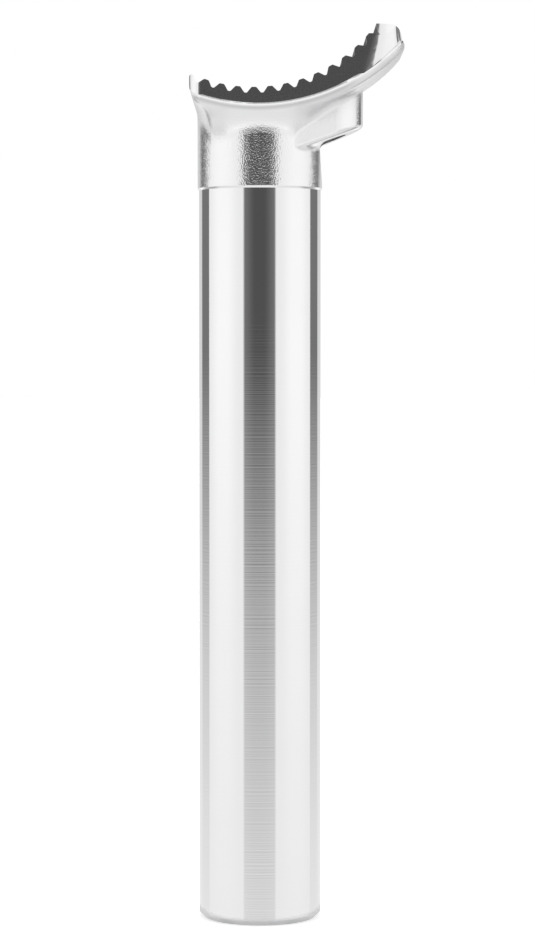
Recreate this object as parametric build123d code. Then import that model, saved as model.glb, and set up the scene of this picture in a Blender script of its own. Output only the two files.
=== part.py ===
from build123d import *
import math
import os

# Bicycle seatpost, in millimetres: one aluminium forging.
# The tube is turned and bored, the head keeps its forged form, and a toothed cradle
# with one slanted bolt hole is machined across its top.
# Z runs up the tube from its foot, X points to the rear of the bicycle and Y across it.

# Turned tube
tube_diameter = 25.4
tube_length = 152.4
tube_wall = 3.2
foot_chamfer = 1.1
bore_chamfer = 0.5
bore_stop = 12.0
drill_point_angle = 118.0

# Forged neck, a little thicker than the turned tube
seam_step = 0.3
seam_rise = 0.4
flare_radius = 9.0

# Cradle for the saddle: a trough across the head, on an axis along Y
cradle_radius = 31.0
cradle_floor = 20.34
cradle_offset = -1.34
plate_thickness = 5.3
underside_radius = 41.0
underside_offset = -0.4
plate_overhang = 1.75
forged_edge = 2.1

# Front end of the cradle: its wall leans in below a bend and its corners are milled upright
front_overhang = 1.5
front_corner = 2.7
forged_front_corner = 2.0
front_edge = 0.6
front_lean_angle = 17.7
front_bend_height = 20.5
front_bend_radius = 6.0

# Rear end of the cradle: it leans in and its corners tighten upwards
rear_land_length = 4.75
rear_drop_height = 0.25
rear_lean_angle = 12.0
rear_corner = 5.0
rear_corner_growth = 0.57
rear_edge = 2.4
forged_corner = 7.0
forged_end_stock = 1.1
ledge_rise = 1.6
ledge_slope_angle = 33.0

# Teeth across the trough, as angles about its axis
tooth_pitch_angle = 6.05
tooth_start_angle = 0.3
front_teeth = 4
rear_teeth = 9
tooth_depth = 1.2
groove_mouth = 2.3
groove_root = 0.5
tooth_round = 0.35

# Boss behind the neck, under the rear of the trough
boss_setback = 7.2
boss_end_radius = 8.4
boss_tuck_angle = 2.0
boss_rise = 10.2
boss_edge = 1.2
boss_fillet = 2.0

# Slanted bolt hole for an M8 screw, aimed at the trough's axis
bolt_tilt_angle = 20.5
thread_diameter = 8.0
relief_diameter = 8.4
relief_depth = 3.0
countersink_diameter = 10.0
run_out_length = 14.0

# Room for cuts to run past the part, and how near an edge lies to the place it is picked by
cut_margin = 1.0
pick_tolerance = 0.02

# Places that follow from the sizes above
tube_r = tube_diameter / 2
bore_r = tube_r - tube_wall
neck_r = tube_r + seam_step
neck_z = tube_length + seam_rise
floor_z = tube_length + cradle_floor
axis_x = cradle_offset
axis_z = floor_z + cradle_radius
underside_z = floor_z - plate_thickness + underside_radius
half_width = neck_r + plate_overhang
front_x = -neck_r - front_overhang
first_tooth = math.radians(tooth_start_angle - front_teeth * tooth_pitch_angle)
last_tooth = math.radians(tooth_start_angle + rear_teeth * tooth_pitch_angle)
front_top = axis_z - cradle_radius * math.cos(first_tooth)
rear_top = axis_z - cradle_radius * math.cos(last_tooth) - rear_drop_height
rear_x = axis_x + cradle_radius * math.sin(last_tooth) + rear_land_length
forged_x = rear_x + forged_end_stock
bolt_angle = math.radians(bolt_tilt_angle)
bolt_axis = Plane(
    origin=(axis_x, 0, axis_z),
    x_dir=(0, 1, 0),
    z_dir=(math.sin(bolt_angle), 0, -math.cos(bolt_angle)),
)
boss_depth = (axis_z - tube_length - boss_rise) / math.cos(bolt_angle)


def across(profile, half):
    """Extrude a profile drawn in X and Z to both sides of the middle plane."""
    return extrude(Plane.XZ * profile, half, both=True)


def span(x0, z0, x1, z1):
    """Rectangle between two corners, in X and Z."""
    return Polygon((x0, z0), (x1, z0), (x1, z1), (x0, z1), align=None)


def alike(body):
    """Keep the half of a body on the +Y side and mirror it, so that both sides are alike."""
    side = split(body, bisect_by=Plane.XZ, keep=Keep.BOTTOM)
    return side + mirror(side, about=Plane.XZ)


def plan_strip(x0, x1):
    """Strip of the plan view between two places along X, as wide as the cradle."""
    return Polygon((x0, -half_width), (x1, -half_width), (x1, half_width), (x0, half_width), align=None)


def rounded(outline, x, radius):
    """Round the corners of a plan outline at one place along X."""
    return fillet(outline.vertices().filter_by_position(Axis.X, x, x), radius)


def uprights_at(body, x):
    """Upright edges of a body at one place along X."""
    return body.edges().filter_by(Axis.Z).filter_by_position(Axis.X, x - pick_tolerance, x + pick_tolerance)


def turned_body():
    """Tube, seam and neck, as one turned profile."""
    profile = Polygon(
        (0, 0),
        (tube_r - foot_chamfer, 0),
        (tube_r, foot_chamfer),
        (tube_r, tube_length),
        (neck_r, neck_z),
        (neck_r, floor_z),
        (0, floor_z),
        align=None,
    )
    return revolve(Plane.XZ * profile, Axis.Z)


def forged_plate():
    """Arched plate under the trough, with its lower edge rounded all the way round."""
    low = floor_z - 2 * plate_thickness
    bend_z = tube_length + front_bend_height
    foot_x = front_x + (bend_z - low) * math.tan(math.radians(front_lean_angle))
    side_view = Polygon(
        (front_x, rear_top), (front_x, bend_z), (foot_x, low), (forged_x, low), (forged_x, rear_top),
        align=None,
    )
    side_view = fillet(side_view.vertices().filter_by_position(Axis.Y, bend_z, bend_z), front_bend_radius)
    arch = Pos(underside_offset, underside_z) * Circle(underside_radius)
    plate = across(arch & side_view, half_width)
    plate = fillet(uprights_at(plate, front_x), forged_front_corner)
    plate = fillet(uprights_at(plate, forged_x), forged_corner)
    lower_edges = []
    for edge in plate.edges():
        middle = edge.position_at(0.5)
        radius = math.hypot(middle.X - underside_offset, middle.Z - underside_z)
        if abs(radius - underside_radius) < pick_tolerance and middle.Z < rear_top - cut_margin:
            lower_edges.append(edge)
    return fillet(lower_edges, forged_edge)


def flared(body):
    """Round the corner between the neck and the plate into a wide flare."""
    ring = []
    for edge in body.edges():
        middle = edge.position_at(0.5)
        if abs(math.hypot(middle.X, middle.Y) - neck_r) < pick_tolerance and middle.Z > neck_z + cut_margin:
            ring.append(edge)
    return fillet(ring, flare_radius)


def rear_section(z):
    """Plan view of the rear end at one height: shorter and with tighter corners the higher it is."""
    drop = rear_top - z
    end_x = rear_x + drop * math.tan(math.radians(rear_lean_angle))
    return Pos(0, 0, z) * rounded(plan_strip(neck_r, end_x), end_x, rear_corner + drop * rear_corner_growth)


def ledge():
    """Region above the rear ledge, which follows the underside and slopes down past the end wall."""
    radius = underside_radius - ledge_rise
    lean = math.radians(rear_lean_angle)
    dx = rear_x - underside_offset
    dz = rear_top - underside_z
    along = dx * math.sin(lean) - dz * math.cos(lean)
    reach = math.sqrt(along**2 + radius**2 - dx**2 - dz**2) - along
    end_x = rear_x + reach * math.sin(lean)
    end_z = rear_top - reach * math.cos(lean)
    outer_x = forged_x + cut_margin
    outer_z = end_z - (outer_x - end_x) / math.tan(math.radians(ledge_slope_angle))
    slope = Polygon((end_x, end_z), (outer_x, outer_z), (outer_x, rear_top), (end_x, rear_top), align=None)
    return across(Pos(underside_offset, underside_z) * Circle(radius) + slope, half_width)


def rear_cutter():
    """What shaping the rear end takes off the forging, down to the ledge."""
    low = floor_z + cut_margin
    kept = loft([rear_section(low), rear_section(rear_top)], ruled=True)
    length = forged_x + cut_margin - neck_r
    blank = Pos(neck_r, 0, low) * Box(
        length, 2 * half_width, rear_top - low, align=(Align.MIN, Align.CENTER, Align.MIN)
    )
    return (blank - kept) & ledge()


def boss():
    """Rounded block behind the neck, square to the bolt below and buried in the plate above."""
    end_x = rear_x - boss_setback - boss_end_radius
    lean = math.asin((neck_r - boss_end_radius) / end_x) - math.radians(boss_tuck_angle)
    depth = boss_end_radius + end_x * math.sin(lean)
    root_x = depth * math.sin(lean)
    root_y = depth * math.cos(lean)
    nose_x = end_x + boss_end_radius * math.sin(lean)
    nose_y = boss_end_radius * math.cos(lean)
    flank = Line((root_x, root_y), (nose_x, nose_y))
    nose = ThreePointArc((nose_x, nose_y), (end_x + boss_end_radius, 0), (nose_x, -nose_y))
    other_flank = Line((nose_x, -nose_y), (root_x, -root_y))
    back = Line((root_x, -root_y), (root_x, root_y))
    plan = make_face([flank, nose, other_flank, back])
    block = extrude(Pos(0, 0, tube_length) * plan, rear_top - tube_length)
    block = split(block, bisect_by=bolt_axis.offset(boss_depth), keep=Keep.BOTTOM)
    return fillet(block.faces().sort_by(Axis.Z)[0].edges(), boss_edge)


def trough():
    """Space above the toothed floor: a disc with a ring of rounded grooves cut below it."""
    space = Circle(cradle_radius)
    flank_slope = (groove_mouth - groove_root) / 2 / tooth_depth
    lip = tooth_depth / 2
    for index in range(-front_teeth, rear_teeth):
        angle = tooth_start_angle + (index + 0.5) * tooth_pitch_angle
        groove = Polygon(
            (-groove_mouth / 2 - lip * flank_slope, -cradle_radius + lip),
            (-groove_root / 2, -cradle_radius - tooth_depth),
            (groove_root / 2, -cradle_radius - tooth_depth),
            (groove_mouth / 2 + lip * flank_slope, -cradle_radius + lip),
            align=None,
        )
        space += Rot(0, 0, angle) * groove
    space = fillet(space.vertices(), tooth_round)
    return across(Pos(axis_x, axis_z) * space, half_width + cut_margin)


def front_cutter():
    """What milling the front corners upright takes off the forging."""
    strip = plan_strip(front_x, front_x + front_corner + cut_margin)
    return extrude(strip - rounded(strip, front_x, front_corner), rear_top)


def edge_cutter(x, z, radius, side, lean):
    """What a round takes off the upper edge of an end wall that leans in towards its top."""
    reach = radius / math.tan(math.radians(90 + lean) / 2)
    center_x = x - side * reach
    drop = reach * math.cos(math.radians(lean))
    wall_x = x + side * reach * math.sin(math.radians(lean))
    outer_x = wall_x + side * radius
    corner = Polygon(
        (center_x, z), (center_x, z + radius), (outer_x, z + radius), (outer_x, z - drop), (wall_x, z - drop),
        align=None,
    )
    return across(corner - Pos(center_x, z - radius) * Circle(radius), half_width + cut_margin)


def bolt_hole():
    """Hole as wide as the thread, with a countersunk mouth and a wider relief that runs out past the boss."""
    mouth = cradle_radius - tooth_depth
    from_top = (Align.CENTER, Align.CENTER, Align.MIN)
    thread = bolt_axis.offset(mouth) * Cylinder(thread_diameter / 2, boss_depth - mouth, align=from_top)
    sink_depth = (countersink_diameter - thread_diameter) / 2
    sink = bolt_axis.offset(cradle_radius) * Cone(
        countersink_diameter / 2, thread_diameter / 2, sink_depth, align=from_top
    )
    relief = bolt_axis.offset(boss_depth - relief_depth) * Cylinder(
        relief_diameter / 2, relief_depth + run_out_length, align=from_top
    )
    return thread + sink + relief


def tube_bore():
    """Blind bore from the foot, with a drilled end and a chamfered mouth."""
    depth = tube_length - bore_stop
    point = bore_r / math.tan(math.radians(drill_point_angle / 2))
    profile = Polygon(
        (0, 0),
        (bore_r + bore_chamfer, 0),
        (bore_r, bore_chamfer),
        (bore_r, depth),
        (0, depth + point),
        align=None,
    )
    return revolve(Plane.XZ * profile, Axis.Z)


# Forge the bar, the head and the boss in one, with the boss blended in
forging = flared(turned_body() + forged_plate())
block = boss()
joined = forging + block
joined = alike(fillet(new_edges(forging, block, combined=joined), boss_fillet))

# Mill the rear end, the trough and the front end to shape
joined -= rear_cutter()
front_land = span(front_x - cut_margin, front_top, axis_x, rear_top)
seatpost = joined - trough() - across(front_land, half_width + cut_margin)
seatpost -= front_cutter()
seatpost -= edge_cutter(front_x, front_top, front_edge, -1, 0)
seatpost -= edge_cutter(rear_x, rear_top, rear_edge, 1, rear_lean_angle)

# Drill the bolt hole and the bore
seatpost -= bolt_hole()
seatpost -= tube_bore()

os.makedirs("parts", exist_ok=True)
export_step(seatpost, "parts/seatpost.step")
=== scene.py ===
import math

import bpy
import numpy as np
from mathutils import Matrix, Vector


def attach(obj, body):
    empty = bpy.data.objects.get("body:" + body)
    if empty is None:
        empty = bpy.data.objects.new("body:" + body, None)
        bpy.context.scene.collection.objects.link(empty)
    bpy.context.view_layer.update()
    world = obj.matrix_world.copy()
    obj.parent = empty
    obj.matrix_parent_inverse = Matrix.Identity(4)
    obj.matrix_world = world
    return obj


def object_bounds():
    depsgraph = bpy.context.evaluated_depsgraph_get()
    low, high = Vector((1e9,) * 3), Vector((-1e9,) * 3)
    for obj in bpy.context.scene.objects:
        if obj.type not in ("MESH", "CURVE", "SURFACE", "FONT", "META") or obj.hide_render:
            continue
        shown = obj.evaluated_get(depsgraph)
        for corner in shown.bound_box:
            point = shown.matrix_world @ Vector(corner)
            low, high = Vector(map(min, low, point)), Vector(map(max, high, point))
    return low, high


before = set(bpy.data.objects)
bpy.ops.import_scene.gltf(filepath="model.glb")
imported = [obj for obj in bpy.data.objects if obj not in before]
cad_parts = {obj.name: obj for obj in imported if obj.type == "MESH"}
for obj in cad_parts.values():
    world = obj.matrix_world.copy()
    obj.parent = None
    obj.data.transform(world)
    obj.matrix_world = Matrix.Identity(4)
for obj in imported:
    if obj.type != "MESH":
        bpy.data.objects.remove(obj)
cad_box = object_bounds()


# The seatpost is one aluminium forging. Its tube is turned on a lathe and polished, its head keeps
# a fine-grained forged skin under the polish, and the cradle's teeth, sides and holes are cut.
# It is shaped whole in the CAD node, so here it gets its finish, with painted shade under the plate's rim
# and in the toothed trough.

# where each finish lies, in metres and radians: a pair is where a soft change starts and is complete
EDGE = 0.00005
TURNED_TOP = 0.1528
BORE_RADIUS = 0.0096
CRADLE_X, CRADLE_Z = -0.00134, 0.20374
CRADLE_REACH = 0.0324
CRADLE_HALF = 0.0143
CRADLE_FRONT = (math.radians(-20.5), math.radians(-20.4))
CRADLE_REAR = math.radians(54.3)
BOLT_TILT = math.radians(20.5)
BOLT_REACH = 0.00428
UNDERSIDE_X, UNDERSIDE_Z = -0.0004, 0.20844
MILLED_REACH = 0.0397
HALF_WIDTH = cad_box[1][1]
SIDE_WALL = (HALF_WIDTH - EDGE, HALF_WIDTH - EDGE / 2)
PLATE_FLARE = (0.0455, 0.0415)
LOBE_START = (0.022, 0.028)
BOSS_FRONT = (0.0065, 0.0085)
BOSS_UNDER = (0.157, 0.159)
BOSS_FLANK = (0.021, 0.017)
# where shade is painted in a line under the plate's rim
RIM_SHADE_INNER = (0.03925, 0.03985)
RIM_SHADE_OUTER = (0.04065, 0.03985)
RIM_SHADE_SIDE = (0.0136, 0.0140)
RIM_SHADE_REAR = (0.0225, 0.0165)

# relief of the finishes: heights are in metres, and a noise is its features per metre along x, y and z,
# its detail and its roughness
RING_HEIGHT = 0.0000054
RING_NOISE = ((1.0, 1.0, 2400.0), 2.0, 0.6)
RING_FOOTWARD = (0.14, 0.06)
RING_SHARE_TOP, RING_SHARE_FOOT = 0.6, 2.0
GRAIN_HEIGHT = 0.000037
GRAIN_NOISE = ((4000.0, 4000.0, 4000.0), 0.0, 0.5)
GRAIN_SHARE_PLATE = 0.4
MILL_HEIGHT = 0.00001
MILL_NOISE = ((3200.0, 60.0, 3200.0), 2.0, 0.6)

# colours of the metal, and the roughness that each finish adds to the polish
BRIGHT_METAL = (0.90, 0.90, 0.905, 1.0)
DULL_METAL = (0.87, 0.87, 0.88, 1.0)
# painted shade for the line under the plate's rim
RIM_SHADE_METAL = (0.66, 0.66, 0.665, 1.0)
SPECKLED_METAL = (0.74, 0.74, 0.75, 1.0)
DRILLED_METAL = (0.55, 0.55, 0.56, 1.0)
# painted shade in the toothed trough, darker still in its reflections at a flat angle
TROUGH_SHADE_METAL = (0.46, 0.46, 0.465, 1.0)
TROUGH_GRAZING_SHADE = (0.10, 0.10, 0.10, 1.0)
WHITE = (1.0, 1.0, 1.0, 1.0)
CLOUD_NOISE = ((90.0, 90.0, 90.0), 3.0, 0.5)
SPECK_NOISE = ((3600.0, 3600.0, 3600.0), 1.0, 0.5)
SPECK_START = (0.46, 0.62)
POLISHED_ROUGH = 0.06
FORGED_ROUGH = 0.02
PLATE_ROUGH = 0.22
LOBE_ROUGH = 0.20
FLANK_ROUGH = 0.10
CUT_ROUGH = 0.26


def wire(tree, source, target):
    """Join an output socket to an input socket."""
    tree.links.new(source, target)


def maths(tree, operation, *values, clamp=False):
    """One Math node: each value is a number or a socket, and the result is its output socket."""
    node = tree.nodes.new("ShaderNodeMath")
    node.operation = operation
    node.use_clamp = clamp
    for socket, value in zip(node.inputs, values):
        if isinstance(value, bpy.types.NodeSocket):
            wire(tree, value, socket)
        else:
            socket.default_value = value
    return node.outputs[0]


def product(tree, first, *others):
    """All the values multiplied together."""
    result = first
    for value in others:
        result = maths(tree, "MULTIPLY", result, value)
    return result


def between(tree, factor, first, second):
    """Value from the first to the second as the factor goes from 0 to 1."""
    gap = maths(tree, "SUBTRACT", second, first)
    return maths(tree, "MULTIPLY_ADD", factor, gap, first)


def ramp(tree, value, start, end):
    """Smooth step from 0 at the start to 1 at the end, which may be the lower of the two."""
    node = tree.nodes.new("ShaderNodeMapRange")
    node.interpolation_type = "SMOOTHSTEP"
    wire(tree, value, node.inputs["Value"])
    node.inputs["From Min"].default_value = start
    node.inputs["From Max"].default_value = end
    return node.outputs["Result"]


def under(tree, value, limit):
    """1 where the value is below the limit, 0 above it, with a narrow soft edge."""
    return maths(tree, "SUBTRACT", 1.0, ramp(tree, value, limit - EDGE, limit + EDGE))


def length(tree, first, second):
    """Root of the sum of two squares."""
    squares = maths(tree, "MULTIPLY_ADD", first, first, maths(tree, "MULTIPLY", second, second))
    return maths(tree, "SQRT", squares)


def blend(tree, factor, first, second):
    """Colour between two colours, each a constant or a socket."""
    node = tree.nodes.new("ShaderNodeMix")
    node.data_type = "RGBA"
    wire(tree, factor, node.inputs["Factor"])
    for name, colour in (("A", first), ("B", second)):
        socket = next(s for s in node.inputs if s.name == name and s.type == "RGBA")
        if isinstance(colour, bpy.types.NodeSocket):
            wire(tree, colour, socket)
        else:
            socket.default_value = colour
    return next(s for s in node.outputs if s.type == "RGBA")


def noise(tree, vector, scale, detail, rough):
    """Noise between 0 and 1, with scale in features per metre along each axis."""
    sized = tree.nodes.new("ShaderNodeMapping")
    sized.inputs["Scale"].default_value = scale
    wire(tree, vector, sized.inputs["Vector"])
    node = tree.nodes.new("ShaderNodeTexNoise")
    node.inputs["Scale"].default_value = 1.0
    node.inputs["Detail"].default_value = detail
    node.inputs["Roughness"].default_value = rough
    wire(tree, sized.outputs["Vector"], node.inputs["Vector"])
    return node.outputs["Fac"]


def finish_zones(tree, place):
    """Masks from 0 to 1, by name, that say where on the post each finish is, and where shade is painted.
    """
    parts = tree.nodes.new("ShaderNodeSeparateXYZ")
    wire(tree, place, parts.inputs["Vector"])
    x, y, z = parts.outputs
    width = maths(tree, "ABSOLUTE", y)

    # the toothed trough is a slice of a cylinder about the saddle's axis, between the two flat ends
    across = maths(tree, "SUBTRACT", x, CRADLE_X)
    down = maths(tree, "SUBTRACT", CRADLE_Z, z)
    angle = maths(tree, "ARCTAN2", across, down)
    in_slice = product(tree, ramp(tree, angle, *CRADLE_FRONT), under(tree, angle, CRADLE_REAR))
    in_reach = under(tree, length(tree, across, down), CRADLE_REACH)
    trough = product(tree, in_slice, in_reach, under(tree, width, CRADLE_HALF))

    # the bolt hole and the tube's bore are round about their own axes
    along = maths(tree, "MULTIPLY", across, math.cos(BOLT_TILT))
    aside = maths(tree, "SUBTRACT", along, maths(tree, "MULTIPLY", down, math.sin(BOLT_TILT)))
    hole = under(tree, length(tree, aside, y), BOLT_REACH)
    below_seam = under(tree, z, TURNED_TOP)
    bore = product(tree, under(tree, length(tree, x, y), BORE_RADIUS), below_seam)
    drilled = maths(tree, "MAXIMUM", hole, bore)
    cut = maths(tree, "MAXIMUM", trough, drilled)

    # the tube is turned, and the cradle's sides and ends are milled down to its curved underside
    turned = product(tree, below_seam, maths(tree, "SUBTRACT", 1.0, bore))
    from_axis = maths(tree, "SUBTRACT", x, UNDERSIDE_X)
    over = length(tree, from_axis, maths(tree, "SUBTRACT", UNDERSIDE_Z, z))
    milled = under(tree, over, MILLED_REACH)
    side = product(tree, milled, ramp(tree, width, *SIDE_WALL))

    # all the rest has the forged skin, smoother on the plate, its rear lobe and the boss
    machined = maths(tree, "MAXIMUM", maths(tree, "MAXIMUM", turned, milled), cut)
    forged = maths(tree, "SUBTRACT", 1.0, machined)
    plate = product(tree, forged, ramp(tree, over, *PLATE_FLARE))
    lobe = product(tree, plate, ramp(tree, x, *LOBE_START))
    boss = product(tree, ramp(tree, x, *BOSS_FRONT), ramp(tree, z, *BOSS_UNDER))
    flank = product(tree, boss, forged, ramp(tree, x, *BOSS_FLANK))
    smoother = maths(tree, "MAXIMUM", plate, boss)
    grained = product(tree, forged, between(tree, smoother, 1.0, GRAIN_SHARE_PLATE))

    # painted shade: a darker line along the forging's rim, under the plate where it overhangs the flare
    rim = product(tree, ramp(tree, over, *RIM_SHADE_INNER), ramp(tree, over, *RIM_SHADE_OUTER))
    painted_rim_shade = product(tree, rim, ramp(tree, width, *RIM_SHADE_SIDE), ramp(tree, x, *RIM_SHADE_REAR))

    # the lathe's rings are deeper towards the foot
    deeper = between(tree, ramp(tree, z, *RING_FOOTWARD), RING_SHARE_TOP, RING_SHARE_FOOT)
    ringed = product(tree, turned, deeper)
    return {"trough": trough, "drilled": drilled, "cut": cut, "side": side, "painted_rim_shade": painted_rim_shade,
            "forged": forged, "plate": plate, "lobe": lobe, "flank": flank, "grained": grained,
            "ringed": ringed}


def finish_normal(tree, place, zone):
    """Normal bent by the rings on the tube, the grain on the forging and the lines in what is cut."""
    rings = product(tree, noise(tree, place, *RING_NOISE), zone["ringed"], RING_HEIGHT)
    grain = product(tree, noise(tree, place, *GRAIN_NOISE), zone["grained"], GRAIN_HEIGHT)
    lines = product(tree, noise(tree, place, *MILL_NOISE), zone["cut"], MILL_HEIGHT)
    height = maths(tree, "ADD", maths(tree, "ADD", rings, grain), lines)
    bump = tree.nodes.new("ShaderNodeBump")
    bump.inputs["Strength"].default_value = 1.0
    bump.inputs["Distance"].default_value = 1.0
    wire(tree, height, bump.inputs["Height"])
    return bump.outputs["Normal"]


def finish_colour(tree, place, zone):
    """Cloudy bright metal with a painted shade line under the plate's rim, in specks on the side walls,
    darker in the holes, and with painted shade in the toothed trough.
    """
    colour = blend(tree, noise(tree, place, *CLOUD_NOISE), BRIGHT_METAL, DULL_METAL)
    colour = blend(tree, zone["painted_rim_shade"], colour, RIM_SHADE_METAL)
    specks = ramp(tree, noise(tree, place, *SPECK_NOISE), *SPECK_START)
    colour = blend(tree, product(tree, zone["side"], specks), colour, SPECKLED_METAL)
    colour = blend(tree, zone["drilled"], colour, DRILLED_METAL)
    # painted shade: the toothed trough is darker
    return blend(tree, zone["trough"], colour, TROUGH_SHADE_METAL)


def finish_roughness(tree, zone):
    """The polish's roughness and what each finish adds to it."""
    rough = POLISHED_ROUGH
    for name, added in (("forged", FORGED_ROUGH), ("plate", PLATE_ROUGH), ("lobe", LOBE_ROUGH),
                        ("flank", FLANK_ROUGH), ("cut", CUT_ROUGH)):
        rough = maths(tree, "MULTIPLY_ADD", zone[name], added, rough)
    return rough


def polished_aluminium():
    """Metal with rings on the tube, grain on the forging and mill lines in the cradle and holes."""
    material = bpy.data.materials.new("polished_aluminium")
    material.use_nodes = True
    tree = material.node_tree
    shader = tree.nodes["Principled BSDF"]
    shader.inputs["Metallic"].default_value = 1.0
    place = tree.nodes.new("ShaderNodeTexCoord").outputs["Object"]
    zone = finish_zones(tree, place)
    wire(tree, finish_normal(tree, place, zone), shader.inputs["Normal"])
    wire(tree, finish_colour(tree, place, zone), shader.inputs["Base Color"])
    # painted shade: the teeth's reflections are darker still where they are seen at a flat angle
    wire(tree, blend(tree, zone["trough"], WHITE, TROUGH_GRAZING_SHADE), shader.inputs["Specular Tint"])
    wire(tree, finish_roughness(tree, zone), shader.inputs["Roughness"])
    return material


aluminium = polished_aluminium()
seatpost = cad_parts["seatpost"]
seatpost.data.materials[0] = aluminium


# The thread in the slanted hole takes the saddle's bolt. It is tapped in the same metal:
# one ridge that winds down the hole from under the teeth to the wider relief below.
THREAD_START, THREAD_END = 0.0325, 0.0402
THREAD_PITCH = 0.00125
RIDGE_ROOT, RIDGE_CREST = 0.00405, 0.00335
ROOT_HALF, CREST_HALF = 0.00054, 0.00016
RUN_OUT_TURNS = 0.5
END_RISE = 0.05
STEPS_PER_TURN = 48


def thread_mesh():
    """A closed ridge of four corners on a helix: at each angle its place is the hole's axis at that
    angle's share of the pitch, plus the corner's radius times the cosine and sine across the axis.
    The crest sinks almost to the root over half a turn at both ends."""
    turns = (THREAD_END - THREAD_START) / THREAD_PITCH
    turn = np.linspace(0.0, turns, int(turns * STEPS_PER_TURN) + 1)
    rise = np.clip(np.minimum(turn, turns - turn) / RUN_OUT_TURNS, END_RISE, 1.0)
    crest = RIDGE_ROOT - rise * (RIDGE_ROOT - RIDGE_CREST)
    root = np.full_like(turn, RIDGE_ROOT)
    radius = np.stack([root, crest, crest, root], 1)
    offset = np.array([-ROOT_HALF, -CREST_HALF, CREST_HALF, ROOT_HALF])
    depth = THREAD_START + THREAD_PITCH * turn[:, None] + offset
    down = np.array([math.sin(BOLT_TILT), 0.0, -math.cos(BOLT_TILT)])
    sideways = np.array([math.cos(BOLT_TILT), 0.0, math.sin(BOLT_TILT)])
    forward = np.cross(down, sideways)
    angle = 2 * np.pi * turn[:, None, None]
    points = np.array([CRADLE_X, 0.0, CRADLE_Z]) + depth[..., None] * down
    points = points + radius[..., None] * (np.cos(angle) * sideways + np.sin(angle) * forward)
    i, j = np.meshgrid(np.arange(len(turn) - 1) * 4, np.arange(4), indexing="ij")
    k = (j + 1) % 4
    faces = np.stack([i + j, i + k, i + 4 + k, i + 4 + j], -1).reshape(-1, 4).tolist()
    last = 4 * (len(turn) - 1)
    faces += [[3, 2, 1, 0], [last, last + 1, last + 2, last + 3]]
    mesh = bpy.data.meshes.new("thread")
    mesh.from_pydata(points.reshape(-1, 3).tolist(), [], faces)
    return mesh


thread = bpy.data.objects.new("thread", thread_mesh())
thread.data.materials.append(aluminium)
bpy.context.scene.collection.objects.link(thread)
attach(thread, "root")


# The floor is a wide pale table top. It is white to the eye and keeps the post's soft shadow.
# Polished metal mirrors only the shaded ring of it at the foot, the rest is in the studio's light.
TABLE_RADIUS = 8.0
CENTRE_RADIUS = 0.02
TABLE_RINGS, TABLE_SPOKES = 24, 96
SHADED_RING = (0.0176, 0.022)
RING_CLEARNESS = 0.35
TABLE_COLOUR = (0.85, 0.85, 0.85, 1.0)
TABLE_LIFT = 0.45


def mixed(tree, factor, first, second):
    """Shader that goes from the first to the second as the factor goes from 0 to 1."""
    node = tree.nodes.new("ShaderNodeMixShader")
    wire(tree, factor, node.inputs[0])
    wire(tree, first, node.inputs[1])
    wire(tree, second, node.inputs[2])
    return node.outputs[0]


def table_top():
    """Pale table: lit as it lies, lifted to white for the camera, clear to far reflections."""
    material = bpy.data.materials.new("pale_table")
    material.use_nodes = True
    tree = material.node_tree
    tree.nodes.remove(tree.nodes["Principled BSDF"])
    lit = tree.nodes.new("ShaderNodeBsdfDiffuse")
    lit.inputs["Color"].default_value = TABLE_COLOUR
    lift = tree.nodes.new("ShaderNodeEmission")
    lift.inputs["Strength"].default_value = TABLE_LIFT
    seen = tree.nodes.new("ShaderNodeAddShader")
    wire(tree, lit.outputs[0], seen.inputs[0])
    wire(tree, lift.outputs[0], seen.inputs[1])
    clear = tree.nodes.new("ShaderNodeBsdfTransparent").outputs[0]

    from_middle = tree.nodes.new("ShaderNodeVectorMath")
    from_middle.operation = "LENGTH"
    wire(tree, tree.nodes.new("ShaderNodeTexCoord").outputs["Object"], from_middle.inputs[0])
    far = ramp(tree, from_middle.outputs["Value"], *SHADED_RING)
    path = tree.nodes.new("ShaderNodeLightPath").outputs
    mirrored = maths(tree, "MULTIPLY", path["Is Glossy Ray"], between(tree, far, RING_CLEARNESS, 1.0))
    surface = mixed(tree, mirrored, lit.outputs[0], clear)
    surface = mixed(tree, path["Is Camera Ray"], surface, seen.outputs[0])
    # nothing of it is seen from beneath
    beneath = tree.nodes.new("ShaderNodeNewGeometry").outputs["Backfacing"]
    surface = mixed(tree, beneath, surface, clear)
    wire(tree, surface, tree.nodes["Material Output"].inputs["Surface"])
    return material


def table_mesh():
    """Disc in the plane z = 0: each ring's points are its radius times the cosine and sine of the
    spoke's angle, and one face fills the smallest ring."""
    radii = np.linspace(CENTRE_RADIUS, TABLE_RADIUS, TABLE_RINGS)
    angles = np.linspace(0, 2 * np.pi, TABLE_SPOKES, endpoint=False)
    radius, angle = np.meshgrid(radii, angles, indexing="ij")
    points = np.stack([radius * np.cos(angle), radius * np.sin(angle), np.zeros_like(radius)], -1)
    i, j = np.meshgrid(np.arange(TABLE_RINGS - 1) * TABLE_SPOKES, np.arange(TABLE_SPOKES), indexing="ij")
    k = (j + 1) % TABLE_SPOKES
    outer = i + TABLE_SPOKES
    faces = np.stack([i + j, outer + j, outer + k, i + k], -1).reshape(-1, 4).tolist()
    faces.append(list(range(TABLE_SPOKES)))
    mesh = bpy.data.meshes.new("table")
    mesh.from_pydata(points.reshape(-1, 3).tolist(), [], faces)
    return mesh


table = bpy.data.objects.new("table", table_mesh())
table.data.materials.append(table_top())
bpy.context.scene.collection.objects.link(table)


# The studio is a white surround with a wide softbox at each side of the camera and one overhead.
# The camera's own side and a gap behind each softbox are dark, and give polished metal its bands.
# Below the horizon they fade into the pale table, with two grey cards and a faint image of the gaps.

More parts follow.
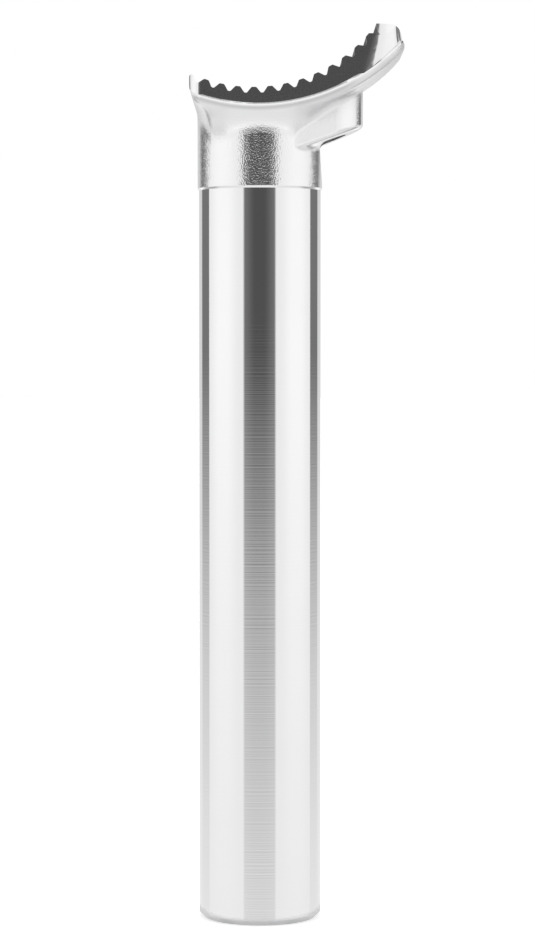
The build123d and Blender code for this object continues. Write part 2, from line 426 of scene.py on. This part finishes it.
# angles are degrees from the camera's side, heights and depths are of a direction of length 1
CENTRE_SHIFT = 0.4
FRONT_SPAN = (7.0, 31.0)
FRONT_LEVELS = (0.085, 0.18)
SOFTBOX_EDGE = (27.5, 32.5)
SOFTBOX_MIDDLE = 74.0
SOFTBOX_SPAN = (8.0, 38.0)
SOFTBOX_LEVELS = (1.055, 0.93)
BACK_EDGE = (136.0, 140.0)
BACK_LEVEL = 0.70
GAP_HEIGHT = (0.07, 0.10)
GAP_MIDDLES = (127.2, 136.5)
GAP_HALVES = (15.4, 9.0)
GAP_EDGE = (-1.0, 1.0)
GAP_DEPTH = (0.0, 0.24)
GAP_LEVELS = (0.185, 0.70)
OVERHEAD_EDGE = (0.62, 0.80)
OVERHEAD_LEVEL = 1.0
FADE_STEEP = 5.35
FADE_SLOW, FADE_OFFSET = 3.3, 0.2
GROUND_NEAR, GROUND_MIDDLE, GROUND_UNDER = 0.92, 1.06, 0.93
GROUND_RISE = (0.20, 0.28)
GROUND_FALL = (0.38, 0.50)
CARD_START = (50.0, 62.0)
CARD_END = (116.0, 104.0)
CARD_DEPTH = (0.19, 0.26)
CARD_THINNING = (0.45, 0.75)
CARD_THINNED = 0.5
CARD_LEVEL = 0.78
MIRRORED_GAP_EDGE = (-8.0, 8.0)
MIRRORED_GAP_START = (0.19, 0.26)
MIRRORED_GAP_END = (0.88, 0.80)
MIRRORED_GAP_LEVEL = 0.48
CAMERA_LEVEL = 1.0


def studio():
    """Light by direction: levels by the angle from the camera's side, under an overhead, over a table."""
    world = bpy.data.worlds.new("studio")
    world.use_nodes = True
    tree = world.node_tree
    sky = tree.nodes["Background"]
    sky.inputs["Color"].default_value = WHITE
    parts = tree.nodes.new("ShaderNodeSeparateXYZ")
    wire(tree, tree.nodes.new("ShaderNodeTexCoord").outputs["Generated"], parts.inputs["Vector"])
    x, y, z = parts.outputs
    deep = maths(tree, "MULTIPLY", z, -1.0)
    # from 0 at the camera's side, a little off centre, to 180 behind the post
    turn = maths(tree, "ARCTAN2", x, maths(tree, "MULTIPLY", y, -1.0))
    turn = maths(tree, "ABSOLUTE", maths(tree, "ADD", maths(tree, "DEGREES", turn), CENTRE_SHIFT))

    front = between(tree, ramp(tree, turn, *FRONT_SPAN), *FRONT_LEVELS)
    off_middle = maths(tree, "ABSOLUTE", maths(tree, "SUBTRACT", turn, SOFTBOX_MIDDLE))
    side = between(tree, ramp(tree, off_middle, *SOFTBOX_SPAN), *SOFTBOX_LEVELS)
    room = between(tree, ramp(tree, turn, *SOFTBOX_EDGE), front, side)
    room = between(tree, ramp(tree, turn, *BACK_EDGE), room, BACK_LEVEL)

    # each gap is narrower above the height of the softbox
    high = ramp(tree, z, *GAP_HEIGHT)
    off_gap = maths(tree, "ABSOLUTE", maths(tree, "SUBTRACT", turn, between(tree, high, *GAP_MIDDLES)))
    inside = maths(tree, "SUBTRACT", between(tree, high, *GAP_HALVES), off_gap)
    gap_level = between(tree, ramp(tree, deep, *GAP_DEPTH), *GAP_LEVELS)
    room = between(tree, ramp(tree, inside, *GAP_EDGE), room, gap_level)
    room = between(tree, ramp(tree, z, *OVERHEAD_EDGE), room, OVERHEAD_LEVEL)

    # the table is brightest some way off, and the cards are thinner right under the post
    ground = between(tree, ramp(tree, deep, *GROUND_RISE), GROUND_NEAR, GROUND_MIDDLE)
    ground = between(tree, ramp(tree, deep, *GROUND_FALL), ground, GROUND_UNDER)
    thinning = between(tree, ramp(tree, deep, *CARD_THINNING), 1.0, CARD_THINNED)
    card = product(tree, ramp(tree, turn, *CARD_START), ramp(tree, turn, *CARD_END))
    card = product(tree, card, ramp(tree, deep, *CARD_DEPTH), thinning)
    ground = between(tree, card, ground, CARD_LEVEL)
    # the gaps show again in it, where it is mostly views from above that mirror them
    mirrored = product(tree, ramp(tree, deep, *MIRRORED_GAP_START), ramp(tree, deep, *MIRRORED_GAP_END))
    mirrored = product(tree, mirrored, ramp(tree, inside, *MIRRORED_GAP_EDGE))
    ground = between(tree, mirrored, ground, MIRRORED_GAP_LEVEL)

    # the fade is steep just below the horizon and slower further down
    slow = maths(tree, "MULTIPLY_ADD", deep, FADE_SLOW, FADE_OFFSET)
    fade = maths(tree, "MINIMUM", maths(tree, "MULTIPLY", deep, FADE_STEEP), slow)
    fade = maths(tree, "MAXIMUM", fade, 0.0, clamp=True)
    room = between(tree, fade, room, ground)
    seen = tree.nodes.new("ShaderNodeLightPath").outputs["Is Camera Ray"]
    wire(tree, between(tree, seen, room, CAMERA_LEVEL), sky.inputs["Strength"])
    return world


bpy.context.scene.world = studio()
bpy.context.scene.view_settings.view_transform = "Standard"


# The camera stands level with the upper half of the tube and looks slightly down at it.
# Its long lens keeps the tube's sides almost parallel, as in the photo.
PHOTO_HEIGHT = 950
FOCAL_PIXELS = 3014.4
SENSOR_HEIGHT = 36.0
CAMERA_PLACE = (0.0016, -0.632, 0.1177)
CAMERA_DIP = math.radians(2.243)

lens = bpy.data.cameras.new("camera")
lens.sensor_fit = "VERTICAL"
lens.sensor_height = SENSOR_HEIGHT
lens.lens = FOCAL_PIXELS * SENSOR_HEIGHT / PHOTO_HEIGHT
camera = bpy.data.objects.new("camera", lens)
camera.location = CAMERA_PLACE
camera.rotation_euler = (math.pi / 2 - CAMERA_DIP, 0.0, 0.0)
bpy.context.scene.collection.objects.link(camera)
bpy.context.scene.camera = camera
